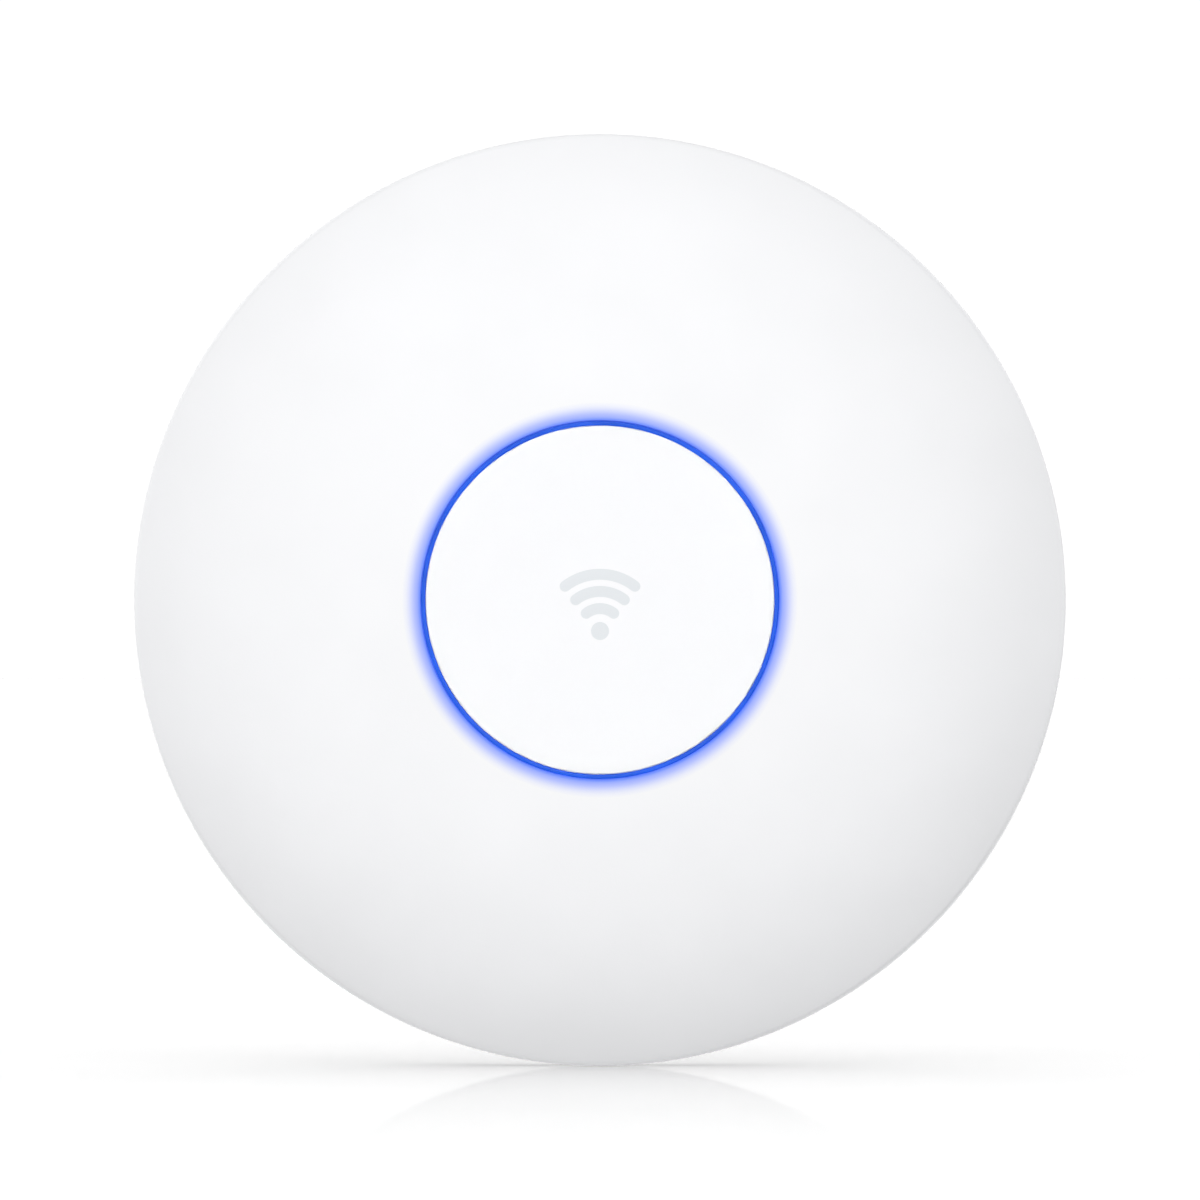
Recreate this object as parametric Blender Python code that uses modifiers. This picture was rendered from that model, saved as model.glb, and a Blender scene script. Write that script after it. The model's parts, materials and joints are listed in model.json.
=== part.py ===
"""Ceiling access point: round two-part shell with a light ring, its electronics, and a twist-on bracket.

The pieces are laid out in a bench frame: x to the right and y up as the face is looked at, and z the
depth from the ceiling towards the viewer. One empty turns the bench frame so that the face looks
along -Y, and the origin is the centre of the bracket's back, on the ceiling plane.
Lengths in the bench frame are written in millimetres and multiplied by MM.
"""

import math

import bmesh
import bpy
from mathutils import Matrix, Vector

MM = 0.001

# Driving dimensions, in millimetres.
BODY_R = 98.5            # outer radius of the dome
CAP_R = 36.7             # radius of the central cap
FACE_Z = 35.0            # front of the cap, from the ceiling plane
GAP = 0.3                # clearance between touching pieces
WALL = 2.4               # dome wall
CAST = 2.2               # rear shell wall

# Dome: a crown curve, then an edge arc down to a short skirt.
CROWN_H = 19.5           # height of the whole crown curve
CROWN_BASE = 15.74       # depth at which the crown curve would meet the rim
CROWN_POWER = 3.5
EDGE_R = 2.5             # edge arc
SEAM_Z = 12.3            # lower end of the dome's skirt
DOME_HOLE_R = 37.8

# Rear shell.
REAR_Z = 1.0             # rear face of the shell, just clear of the ceiling
SHELL_TOP_Z = SEAM_Z - GAP
SHELL_R = 98.0
REAR_FLAT_R = 86.0
RECESS_R = 66.0          # round recess that takes the bracket
RECESS_Z = 6.5           # depth of the recess floor
POCKET_HALF = 13.0       # cable pocket, half its width
POCKET_END = 16.0        # cable pocket, its end beyond the centre
POCKET_Z = 13.2          # depth of the pocket floor
POCKET_WALL = 1.8
BOSS_R = 78.5            # circle of the four shell screws
BOSS_ANGLES = (20.0, 160.0, 200.0, 340.0)
BOSS_SEAT_Z = 11.0       # where the dome's bosses meet the rear shell's
WELL_R = 3.2             # wells of the shell screws, from the rear
WELL_Z = 5.0
BOARD_POST_R = 3.2
GROOVE_HALF = 2.5        # half the width of the latch's release groove
GROOVE_Z = 4.0
CATCH_R = 64.5           # inner side of the catch, just clear of the latch's tooth

# Ethernet jack.
JACK_W = 16.0
JACK_L = 21.3
JACK_Z = (2.3, 15.7)
JACK_FACE_Y = -28.6

# Boards.
BOARD_Z = 16.0
BOARD_T = 1.6
BOARD_R = 68.0
STANDOFF = 55.0          # half pitch of the board screws, along x
STANDOFF_Y = 30.0
PLATE_Z = 22.0           # antenna plate
PLATE_T = 1.0
PLATE_R = 62.0
POST_ANGLES = (110.0, 200.0, 290.0)
POST_R = 52.0
ANTENNA_R = 50.0
ANTENNA_ANGLES = (45.0, 135.0, 225.0, 315.0)
LED_Z = 28.0
LED_COUNT = 8
LED_R = 39.8
GUIDE_R = (33.0, 43.0)   # inner and outer edge of the light guide's flange
GUIDE_Z = 30.2           # its rear face

# Bracket and its twist lock.
BRACKET_R = 63.0
BRACKET_T = 1.5
CABLE_HOLE_R = 24.0
KEYHOLE_R = 38.0         # circle of the keyholes
KEYHOLE_HEAD_R = 4.2
KEYHOLE_SLOT_R = 2.2
KEYHOLE_RUN = 8.0        # from the head's centre to the slot's end
FIXING_R = 44.0          # circle of the plain screw holes
FIXING_HOLE_R = 2.3
TAB_ANGLES = (45.0, 135.0, 225.0, 315.0)
TAB_HALF = 8.0           # half the angle that a tab's foot spans
TAB_RISER_R = (56.0, 57.6)
TAB_FOOT_R = (56.8, 62.6)
TAB_FOOT_Z = (3.6, 5.0)
LUG_R = 58.4             # inner side of the shell's lugs
LUG_Z = (2.0, 3.3)
TWIST_STOP = 2.0         # angle of the closed end of a tab
LEVER_ANGLES = (78.0, 112.0)
LEVER_R = (56.5, 60.5)
LEVER_GAP_R = 52.0       # depth of the bracket's gap round the lever
TOOTH_R = 64.2           # tip of the lever's tooth
LATCH_Z = 4.5            # height of the lever's tooth
RELEASE_ANGLE = 81.0     # direction of the groove that a tool reaches the latch through

# Reset button, pushed along x through the pocket's wall.
BUTTON_Y = -20.0
BUTTON_Z = 11.3
BUTTON_R = 1.3

SEGMENTS = 64            # round the large turned pieces


def clear_scene():
    for item in list(bpy.data.objects):
        bpy.data.objects.remove(item)


def new_collection(name, hidden=False):
    group = bpy.data.collections.new(name)
    bpy.context.scene.collection.children.link(group)
    group.hide_render = hidden
    return group


def make_material(name, colour, roughness, metallic=0.0):
    material = bpy.data.materials.new(name)
    material.use_nodes = True
    shader = material.node_tree.nodes["Principled BSDF"]
    shader.inputs["Base Color"].default_value = (*colour, 1.0)
    shader.inputs["Roughness"].default_value = roughness
    shader.inputs["Metallic"].default_value = metallic
    return material


clear_scene()
PARTS = new_collection("ceiling_access_point")
CUTTERS = new_collection("cutters", hidden=True)

bench = bpy.data.objects.new("bench", None)
bench.rotation_euler = (math.pi / 2, 0.0, 0.0)
PARTS.objects.link(bench)

MATERIALS = {
    "dome": make_material("dome", (0.93, 0.94, 0.94), 0.42),
    "cap": make_material("cap", (0.96, 0.96, 0.96), 0.35),
    "light": make_material("light", (0.05, 0.20, 0.95), 0.30),
    "cast": make_material("cast", (0.80, 0.81, 0.82), 0.50, 0.3),
    "steel": make_material("steel", (0.55, 0.56, 0.57), 0.35, 1.0),
    "tin": make_material("tin", (0.72, 0.73, 0.74), 0.28, 1.0),
    "aluminium": make_material("aluminium", (0.75, 0.76, 0.77), 0.40, 1.0),
    "brass": make_material("brass", (0.75, 0.60, 0.32), 0.35, 1.0),
    "board": make_material("board", (0.03, 0.16, 0.09), 0.45),
    "black": make_material("black", (0.03, 0.03, 0.03), 0.50),
    "rubber": make_material("rubber", (0.10, 0.10, 0.11), 0.80),
    "pad": make_material("pad", (0.45, 0.55, 0.70), 0.85),
    "label": make_material("label", (0.86, 0.86, 0.85), 0.60),
    "polyimide": make_material("polyimide", (0.45, 0.22, 0.05), 0.40),
}


def adopt(item, material=None):
    """Moves an object into the parts collection, onto the bench, with its material."""
    for group in list(item.users_collection):
        group.objects.unlink(item)
    PARTS.objects.link(item)
    item.parent = bench
    if material:
        item.data.materials.clear()
        item.data.materials.append(MATERIALS[material])
    return item


def combine(target, operands, operation):
    """One Boolean against a collection of hidden operands."""
    group = bpy.data.collections.new(f"{target.name}_{operation.lower()}")
    CUTTERS.children.link(group)
    for operand in operands:
        for old in list(operand.users_collection):
            old.objects.unlink(operand)
        group.objects.link(operand)
        operand.hide_render = True
        operand.display_type = "WIRE"
    modifier = target.modifiers.new(group.name, "BOOLEAN")
    modifier.operation = operation
    modifier.operand_type = "COLLECTION"
    modifier.collection = group
    modifier.solver = "EXACT"


def cut(target, *operands):
    combine(target, operands, "DIFFERENCE")


def join(target, *operands):
    combine(target, operands, "UNION")


def smooth(item, angle=30.0):
    item.data.shade_smooth()
    item.data.set_sharp_from_angle(angle=math.radians(angle))


def polar(radius, degrees):
    return (radius * math.cos(math.radians(degrees)), radius * math.sin(math.radians(degrees)))


def turned(name, profile, material=None, closed=False, segments=SEGMENTS, at=(0.0, 0.0)):
    """A solid of revolution about the bench z axis; the profile runs down its outer side."""
    mesh = bpy.data.meshes.new(name)
    points = [(r * MM, 0.0, z * MM) for r, z in profile]
    last = len(points) if closed else len(points) - 1
    edges = [(i, (i + 1) % len(points)) for i in range(last)]
    mesh.from_pydata(points, edges, [])
    item = bpy.data.objects.new(name, mesh)
    item.location = (at[0] * MM, at[1] * MM, 0.0)
    screw = item.modifiers.new("turn", "SCREW")
    screw.steps = segments
    screw.render_steps = segments
    screw.use_merge_vertices = True
    screw.merge_threshold = 0.00001
    screw.use_smooth_shade = True
    return adopt(item, material)


def disc(name, radius, z0, z1, material=None, at=(0.0, 0.0), segments=24):
    profile = [(0.0, z1), (radius, z1), (radius, z0), (0.0, z0)]
    return turned(name, profile, material, segments=segments, at=at)


def ring(name, inner, outer, z0, z1, material=None, segments=SEGMENTS):
    profile = [(outer, z1), (outer, z0), (inner, z0), (inner, z1)]
    return turned(name, profile, material, closed=True, segments=segments)


def block(name, low, high, material=None, bevel=0.0):
    """A box between two bench corners, in millimetres, with optional rounded edges."""
    bpy.ops.mesh.primitive_cube_add(size=1.0)
    item = bpy.context.active_object
    item.name = name
    size = Vector(high) - Vector(low)
    item.data.transform(Matrix.Diagonal((*(size * MM), 1.0)))
    item.location = (Vector(low) + Vector(high)) * 0.5 * MM
    if bevel:
        modifier = item.modifiers.new("edges", "BEVEL")
        modifier.width = bevel * MM
        modifier.segments = 2
    return adopt(item, material)


def plate(name, outlines, z0, z1, material=None):
    """A flat piece from nested outlines: the first is its edge and the others are holes."""
    curve = bpy.data.curves.new(name, "CURVE")
    curve.dimensions = "2D"
    curve.fill_mode = "BOTH"
    curve.extrude = (z1 - z0) / 2 * MM
    for outline in outlines:
        spline = curve.splines.new("POLY")
        spline.points.add(len(outline) - 1)
        for point, (x, y) in zip(spline.points, outline):
            point.co = (x * MM, y * MM, 0.0, 1.0)
        spline.use_cyclic_u = True
    flat = bpy.data.objects.new(name + "_curve", curve)
    PARTS.objects.link(flat)
    bpy.context.view_layer.update()
    graph = bpy.context.evaluated_depsgraph_get()
    mesh = bpy.data.meshes.new_from_object(flat.evaluated_get(graph))
    bpy.data.objects.remove(flat)
    work = bmesh.new()
    work.from_mesh(mesh)
    bmesh.ops.remove_doubles(work, verts=work.verts, dist=0.000001)
    bmesh.ops.recalc_face_normals(work, faces=work.faces)
    work.to_mesh(mesh)
    work.free()
    mesh.name = name
    item = bpy.data.objects.new(name, mesh)
    item.location.z = (z0 + z1) / 2 * MM
    return adopt(item, material)


def circle(radius, centre=(0.0, 0.0), points=16, start=0.0):
    turn = [polar(radius, start + 360.0 * i / points) for i in range(points)]
    return [(centre[0] + x, centre[1] + y) for x, y in turn]


def arc(radius, first, last, points):
    return [polar(radius, first + (last - first) * i / (points - 1)) for i in range(points)]


def sector(inner, outer, first, last, points=6):
    """The outline of a stretch of a ring, from one angle to another."""
    return arc(outer, first, last, points) + arc(inner, last, first, points)


def keyhole(centre, head_r, slot_r, length, degrees):
    """A round hole with a narrower slot that leads out of it towards the given angle."""
    reach = math.degrees(math.asin(slot_r / head_r))
    head = [polar(head_r, reach + (360.0 - 2 * reach) * i / 12) for i in range(13)]
    tip = [(length + x, y) for x, y in arc(slot_r, -90.0, 90.0, 6)]
    turn = Matrix.Rotation(math.radians(degrees), 2)
    shape = [turn @ Vector(point) for point in head + tip]
    return [(centre[0] + point.x, centre[1] + point.y) for point in shape]


def wire(name, points, radius, material, resolution=1):
    """A round lead along a smooth curve through bench points, with filled ends."""
    curve = bpy.data.curves.new(name, "CURVE")
    curve.dimensions = "3D"
    curve.bevel_depth = radius * MM
    curve.bevel_resolution = resolution
    curve.use_fill_caps = True
    fine = smooth_route(points)
    spline = curve.splines.new("POLY")
    spline.points.add(len(fine) - 1)
    for point, place in zip(spline.points, fine):
        point.co = (*(place * MM), 1.0)
    return adopt(bpy.data.objects.new(name, curve), material)


def smooth_route(points, between=3):
    """Catmull-Rom points through the given ones."""
    knots = [Vector(point) for point in points]
    knots = [2 * knots[0] - knots[1]] + knots + [2 * knots[-1] - knots[-2]]
    route = []
    for a, b, c, d in zip(knots, knots[1:], knots[2:], knots[3:]):
        for step in range(between):
            t = step / between
            route.append(0.5 * (2 * b + (c - a) * t + (2 * a - 5 * b + 4 * c - d) * t**2
                                + (3 * b - a - 3 * c + d) * t**3))
    return route + [knots[-2]]


def crown_z(radius):
    return CROWN_BASE + CROWN_H * (1.0 - (radius / BODY_R) ** CROWN_POWER)


def crown_slope(radius):
    """Angle of the crown curve below level, in radians."""
    return math.atan(CROWN_H * CROWN_POWER / BODY_R * (radius / BODY_R) ** (CROWN_POWER - 1.0))


def dome_outline():
    """Outer side of the dome, from its central hole down to the end of its skirt."""
    slope = crown_slope(BODY_R)
    edge_start = BODY_R - EDGE_R * (1.0 - math.sin(slope))
    rows = 7
    crown = [DOME_HOLE_R + (edge_start - DOME_HOLE_R) * (i / rows) ** 0.8 for i in range(rows + 1)]
    outline = [(r, crown_z(r)) for r in crown]
    centre_z = outline[-1][1] - EDGE_R * math.cos(slope)
    for i in range(1, 4):
        angle = slope + (math.pi / 2 - slope) * i / 3
        outline.append((BODY_R - EDGE_R + EDGE_R * math.sin(angle), centre_z + EDGE_R * math.cos(angle)))
    return outline + [(BODY_R, SEAM_Z)]


def make_dome():
    """The front shell, with four bosses inside for the shell screws."""
    dome = turned("dome_cover", dome_outline(), "dome")
    shell = dome.modifiers.new("wall", "SOLIDIFY")
    shell.thickness = WALL * MM
    shell.offset = -1.0
    shell.use_even_offset = True
    centres = [polar(BOSS_R, angle) for angle in BOSS_ANGLES]
    top = crown_z(BOSS_R) - 1.6
    join(dome, *[disc(f"dome_boss_{i}", 3.6, BOSS_SEAT_Z, top, at=centre, segments=12)
                 for i, centre in enumerate(centres, 1)])
    cut(dome, *[disc(f"dome_bore_{i}", 1.6, 10.0, top - 3.0, at=centre, segments=12)
                for i, centre in enumerate(centres, 1)])
    smooth(dome)


def make_cap():
    """The flat central cap, with a slightly rounded front edge."""
    profile = [(0.0, FACE_Z), (CAP_R - 0.6, FACE_Z), (CAP_R - 0.15, FACE_Z - 0.15),
               (CAP_R, FACE_Z - 0.6), (CAP_R, 32.3), (0.0, 32.3)]
    turned("centre_disc", profile, "cap")


def make_light_ring():
    """The light guide: a flange under the dome, and a lip that stands in the gap round the cap."""
    lip_top = crown_z(DOME_HOLE_R) - 0.1
    inner, outer = GUIDE_R
    lip_in, lip_out = CAP_R + 0.25, CAP_R + 0.75
    profile = [(lip_out, lip_top), (lip_out, GUIDE_Z + 1.4), (outer, GUIDE_Z + 1.0), (outer, GUIDE_Z),
               (inner, GUIDE_Z), (inner, GUIDE_Z + 1.4), (lip_in, GUIDE_Z + 1.7), (lip_in, lip_top)]
    turned("light_ring", profile, "light", closed=True, segments=48)


def make_led_parts():
    """The ring board behind the light guide, its lamps, and its ribbon to the main board."""
    top = LED_Z + 1.0
    ring("led_ring_board", GUIDE_R[0] + 1.0, GUIDE_R[1], LED_Z, top, "board", segments=32)
    for i in range(LED_COUNT):
        x, y = polar(LED_R, 360.0 * (i + 0.5) / LED_COUNT)
        block(f"led_{i + 1}", (x - 1.0, y - 1.0, top + 0.1), (x + 1.0, y + 1.0, top + 0.8), "label")
    strip = [(8.0, 18.2), (14.0, 18.2), (16.5, 19.2), (18.0, 21.5), (20.5, 24.6), (25.0, 26.6), (42.0, 27.4)]
    ribbon("led_flex_cable", [Vector((x, 0.0, z)) for x, z in strip])


def ribbon(name, path, half_width=4.0, thickness=0.3):
    """A flat flexible lead that follows a path in the xz plane."""
    mesh = bpy.data.meshes.new(name)
    route = smooth_route(path, between=2)
    points = []
    for place in route:
        points += [(place.x * MM, side * half_width * MM, place.z * MM) for side in (-1.0, 1.0)]
    faces = [(2 * i, 2 * i + 1, 2 * i + 3, 2 * i + 2) for i in range(len(route) - 1)]
    mesh.from_pydata(points, [], faces)
    item = adopt(bpy.data.objects.new(name, mesh), "polyimide")
    sheet = item.modifiers.new("sheet", "SOLIDIFY")
    sheet.thickness = thickness * MM
    sheet.offset = 0.0


def shell_outline():
    """Section of the rear shell: along its inside to the rim, then down the outside to the recess."""
    edge = [(SHELL_R, SHELL_TOP_Z), (SHELL_R - 0.4, 10.0), (95.4, 6.8), (92.4, 4.0), (89.2, 2.0),
            (REAR_FLAT_R, REAR_Z)]
    recess = [(RECESS_R, REAR_Z), (RECESS_R, RECESS_Z), (0.0, RECESS_Z)]
    inside = [(0.0, RECESS_Z + CAST), (RECESS_R + CAST, RECESS_Z + CAST), (RECESS_R + CAST, REAR_Z + CAST),
              (86.4, REAR_Z + CAST), (90.8, 5.8), (93.8, 8.6), (SHELL_R - CAST - 0.2, SHELL_TOP_Z)]
    return inside + edge + recess


def release_groove():
    """The groove that a tool reaches the latch through, and the wall that lines it inside."""
    groove = block("release_groove", (60.0, -GROOVE_HALF, -1.0), (100.0, GROOVE_HALF, GROOVE_Z))
    side = GROOVE_HALF + 2.0
    wall = block("groove_wall", (66.5, -side, REAR_Z + 1.0), (88.0, side, GROOVE_Z + CAST))
    for item in (groove, wall):
        item.data.transform(Matrix.Translation(item.location))
        item.location = (0.0, 0.0, 0.0)
        item.rotation_euler.z = math.radians(RELEASE_ANGLE)
    return groove, wall


def make_rear_shell():
    """Rear casting with bracket recess, cable pocket, jack opening, bayonet lugs and screw bosses."""
    shell = turned("back_housing", shell_outline(), "cast")
    bay = JACK_W / 2 + 0.4
    back = JACK_FACE_Y - JACK_L
    side = POCKET_HALF + POCKET_WALL
    rim = RECESS_R + 0.8     # just inside the recess's wall, which the lugs and the catch grow from
    groove, groove_wall = release_groove()
    catch = sector(CATCH_R, rim, LEVER_ANGLES[0] - 1.7, LEVER_ANGLES[0] + 1.3, 2)
    added = [block("pocket_hood", (-side, back - 2.4, RECESS_Z + 0.6),
                   (side, POCKET_END + POCKET_WALL, POCKET_Z + POCKET_WALL)),
             groove_wall, plate("latch_catch", [catch], REAR_Z + 0.4, LATCH_Z + 0.4)]
    removed = [groove, block("pocket", (-POCKET_HALF, JACK_FACE_Y, 0.0), (POCKET_HALF, POCKET_END, POCKET_Z)),
               block("jack_bay", (-bay, back - 0.6, -1.0), (bay, JACK_FACE_Y + 0.5, 20.0)), button_hole()]
    for i, angle in enumerate(TAB_ANGLES, 1):
        outline = sector(LUG_R, rim, angle - TAB_HALF + 0.5, angle + TAB_HALF - 1.5)
        added.append(plate(f"lug_{i}", [outline], *LUG_Z))
    for i, angle in enumerate(BOSS_ANGLES, 1):
        centre = polar(BOSS_R, angle)
        added.append(disc(f"screw_boss_{i}", WELL_R + 1.4, REAR_Z + 1.0, BOSS_SEAT_Z - GAP, at=centre,
                          segments=12))
        well = [(0.0, 20.0), (1.9, 20.0), (1.9, WELL_Z), (WELL_R, WELL_Z), (WELL_R, 0.0), (0.0, 0.0)]
        removed.append(turned(f"screw_well_{i}", well, segments=16, at=centre))
    for i, post in enumerate(board_posts(), 1):
        added.append(disc(f"board_post_{i}", BOARD_POST_R, RECESS_Z + 1.0, BOARD_Z - GAP, at=post, segments=12))
        removed.append(disc(f"board_bore_{i}", 1.4, RECESS_Z + 3.0, 20.0, at=post, segments=12))
    join(shell, *added)
    cut(shell, *removed)
    smooth(shell)


def button_hole():
    hole = disc("button_hole", BUTTON_R + 0.3, POCKET_HALF - 1.0, POCKET_HALF + POCKET_WALL + 1.0, segments=16)
    hole.rotation_euler = (0.0, math.pi / 2, 0.0)
    hole.location = (0.0, BUTTON_Y * MM, BUTTON_Z * MM)
    return hole


def board_posts():
    return [(side * STANDOFF, up * STANDOFF_Y) for side in (-1.0, 1.0) for up in (-1.0, 1.0)]


def make_gasket():
    ring("rim_gasket", 93.2, 95.2, SEAM_Z + 0.1, SEAM_Z + 1.6, "rubber", segments=40)


def board_outline():
    """The board's edge: a circle with a flat on each side."""
    flat = 12.0
    return [(x, max(-BOARD_R + flat / 2, min(BOARD_R - flat / 2, y))) for x, y in circle(BOARD_R, points=48)]


def make_main_board():
    holes = [circle(1.7, centre=post, points=10) for post in board_posts()]
    plate("main_board", [board_outline(), *holes], BOARD_Z, BOARD_Z + BOARD_T, "board")
    for i, (x, y) in enumerate(board_posts(), 1):
        screw(f"board_screw_{i}", (x, y), BOARD_Z + BOARD_T + GAP, 2.8, 1.1, 6.0)


def screw(name, centre, seat, head_r, shank_r, length, head_h=1.8, down=1.0):
    """A pan-head screw with a cross recess; down is 1 when it is driven towards the ceiling."""
    top = seat + down * head_h
    points = [(0.0, top), (head_r * 0.7, top), (head_r, seat + down * head_h * 0.5), (head_r, seat),
              (shank_r, seat), (shank_r, seat - down * length), (0.0, seat - down * (length + 0.6))]
    if down < 0:
        points.reverse()
    item = turned(name, points, "steel", segments=12, at=centre)
    long, wide = head_r * 0.55, 0.28
    cross = [block(f"{name}_slot_a", (-long, -wide, -0.8), (long, wide, 0.8)),
             block(f"{name}_slot_b", (-wide, -long, -0.8), (wide, long, 0.8))]
    for bar in cross:
        bar.location = (centre[0] * MM, centre[1] * MM, top * MM)
    cut(item, *cross)
    smooth(item)


def make_shell_screws():
    for i, angle in enumerate(BOSS_ANGLES, 1):
        screw(f"housing_screw_{i}", polar(BOSS_R, angle), WELL_Z - GAP, 2.8, 1.2, 9.6, down=-1.0)


def make_cans():
    """Pressed shield cans on the rear of the board, each over a soft pad on the casting's floor."""
    floor = RECESS_Z + CAST
    for name, x0, x1, y0, y1 in (("main", 22.0, 50.0, -12.0, 22.0), ("radio_a", -50.0, -22.0, 2.0, 24.0),
                                 ("radio_b", -50.0, -22.0, -24.0, -2.0)):
        block(f"shield_can_{name}", (x0, y0, floor + 2.0), (x1, y1, BOARD_Z - GAP), "tin", bevel=0.6)
        block(f"thermal_pad_{name}", (x0 + 5, y0 + 5, floor + GAP), (x1 - 5, y1 - 5, floor + 2.0 - GAP), "pad")


def make_power_parts():
    block("poe_transformer", (-9.0, 30.0, 9.2), (9.0, 46.0, BOARD_Z - GAP), "black", bevel=0.8)
    block("power_inductor", (24.0, 32.0, 10.2), (35.0, 43.0, BOARD_Z - GAP), "black", bevel=1.2)
    for i, x in enumerate((-28.0, -38.0), 1):
        disc(f"capacitor_{i}", 4.0, 9.2, BOARD_Z - GAP, "aluminium", at=(x, 36.0), segments=20)


def make_jack():
    """The socket's metal shell and the moulded insert inside it; the mouth faces +y."""
    low, high = JACK_Z
    back = JACK_FACE_Y - JACK_L
    shell = block("jack_shell", (-JACK_W / 2, back, low), (JACK_W / 2, JACK_FACE_Y, high), "tin", bevel=0.4)
    inner = JACK_W / 2 - 0.4
    cut(shell, block("jack_inside", (-inner, back + 0.4, low + 0.4), (inner, JACK_FACE_Y + 1.0, high - 0.4)))
    wide = inner - GAP
    insert = block("jack_insert", (-wide, back + 0.7, low + 0.7), (wide, JACK_FACE_Y - 0.3, high - 0.7), "black")
    out = JACK_FACE_Y + 1.0
    cut(insert, block("plug_mouth", (-6.0, JACK_FACE_Y - 14.0, low + 3.4), (6.0, out, low + 10.4)),
        block("latch_mouth", (-3.2, JACK_FACE_Y - 9.0, low + 1.5), (3.2, out, low + 4.0)))


def make_button():
    """The reset plunger, with a flange behind the pocket wall, and the switch that it presses."""
    profile = [(0.0, 16.7), (1.0, 16.7), (1.0, 16.1), (2.2, 16.1), (2.2, 15.1), (BUTTON_R, 15.1),
               (BUTTON_R, 13.7), (BUTTON_R - 0.3, 13.4), (0.0, 13.4)]
    plunger = turned("reset_button", profile, "black", segments=16)
    plunger.rotation_euler = (0.0, math.pi / 2, 0.0)
    plunger.location = (0.0, BUTTON_Y * MM, BUTTON_Z * MM)
    switch = (17.6, BUTTON_Y - 3.0, BUTTON_Z - 1.9)
    block("tact_switch", switch, (21.2, BUTTON_Y + 3.0, BOARD_Z - GAP), "black", bevel=0.3)


def make_antenna_plate():
    """The reflector plate, with notches for the leads and a hole for the ribbon, on three spacers."""
    edge = []
    for i in range(4):
        middle = 90.0 * i
        edge += arc(PLATE_R, middle - 41.0, middle + 41.0, 9)
        edge += arc(PLATE_R - 7.0, middle + 42.0, middle + 48.0, 2)
    holes = [circle(1.8, centre=polar(POST_R, angle), points=10) for angle in POST_ANGLES]
    plate("antenna_plate", [edge, circle(24.0, points=24), *holes], PLATE_Z, PLATE_Z + PLATE_T, "aluminium")
    top, foot = PLATE_Z - GAP, BOARD_Z + BOARD_T + GAP
    for i, angle in enumerate(POST_ANGLES, 1):
        place = polar(POST_R, angle)
        post = turned(f"plate_post_{i}", [(3.0, top), (3.0, foot), (1.4, foot), (1.4, top)], "brass",
                      closed=True, segments=12, at=place)
        smooth(post)
        screw(f"plate_screw_{i}", place, PLATE_Z + PLATE_T + GAP, 2.6, 1.0, 3.6, head_h=1.4)


def make_antennas():
    """Stamped aerials: a foot on the plate, a riser and a top arm, one sheet bent to a C."""
    section = [(-5.0, 0.0), (5.0, 0.0), (5.0, 4.6), (-2.0, 4.6), (-2.0, 4.1), (4.5, 4.1), (4.5, 0.5), (-5.0, 0.5)]
    for i, angle in enumerate(ANTENNA_ANGLES, 1):
        item = plate(f"antenna_{i}", [section], -6.0, 6.0, "brass")
        stand = Matrix.Rotation(math.pi / 2, 4, "X")
        place = Matrix.Translation((0.0, 0.0, (PLATE_Z + PLATE_T + GAP) * MM))
        spin = Matrix.Rotation(math.radians(angle + 20.0), 4, "Z")
        centre = Matrix.Translation((*(Vector(polar(ANTENNA_R, angle + 20.0)) * MM), 0.0))
        item.data.transform(place @ centre @ spin @ stand)
        item.location = (0.0, 0.0, 0.0)
        lead(i, angle)


def lead(i, angle):
    """A thin coaxial lead from an aerial's foot, through the plate's notch, to the board."""
    z = PLATE_Z + PLATE_T + 0.9
    points = [(*polar(47.0, angle + 8.0), z), (*polar(51.5, angle + 3.0), z), (*polar(57.6, angle), z - 0.4),
              (*polar(59.8, angle), PLATE_Z - 0.6), (*polar(57.4, angle), 19.6),
              (*polar(51.0, angle), 18.6), (*polar(44.0, angle - 4.0), 18.5)]
    wire(f"coax_lead_{i}", points, 0.55, "black")


def bracket_outline():
    """The bracket's edge: a circle, opened where the latch lever lies."""
    first, last = LEVER_ANGLES
    edge = arc(BRACKET_R, last + 2.0, first + 360.0 - 1.0, 58)
    slot = [polar(LEVER_GAP_R, first - 1.0)] + arc(LEVER_GAP_R, first + 3.0, last + 2.0, 8)
    return edge + slot


def make_bracket():
    """Steel plate with cable hole, keyholes and screw holes, and four channels for the bayonet lugs."""
    holes = [circle(CABLE_HOLE_R, points=32)]
    for angle in (0.0, 90.0, 180.0, 270.0):
        holes.append(keyhole(polar(KEYHOLE_R, angle), KEYHOLE_HEAD_R, KEYHOLE_SLOT_R, KEYHOLE_RUN,
                             angle + 90.0))
    for angle in (45.0, 135.0, 225.0, 315.0):
        holes.append(circle(FIXING_HOLE_R, centre=polar(FIXING_R, angle), points=12))
    bracket = plate("mounting_bracket", [bracket_outline(), *holes], 0.0, BRACKET_T, "steel")
    inner, outer = TAB_FOOT_R
    root = BRACKET_T - 0.4
    added = []
    for i, angle in enumerate(TAB_ANGLES, 1):
        low, high = angle - TAB_HALF - TWIST_STOP, angle + TAB_HALF
        stop = sector(inner + 0.1, outer - 0.1, low + 0.2, low + TWIST_STOP - 0.2, 2)
        added.append(plate(f"tab_riser_{i}", [sector(*TAB_RISER_R, low, high)], root, TAB_FOOT_Z[1]))
        added.append(plate(f"tab_foot_{i}", [sector(inner, outer, low + 0.1, high - 0.1)],
                           TAB_FOOT_Z[0], TAB_FOOT_Z[1] - 0.1))
        added.append(plate(f"tab_stop_{i}", [stop], root, TAB_FOOT_Z[0] + 0.4))
    join(bracket, *added)
    smooth(bracket)


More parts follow.
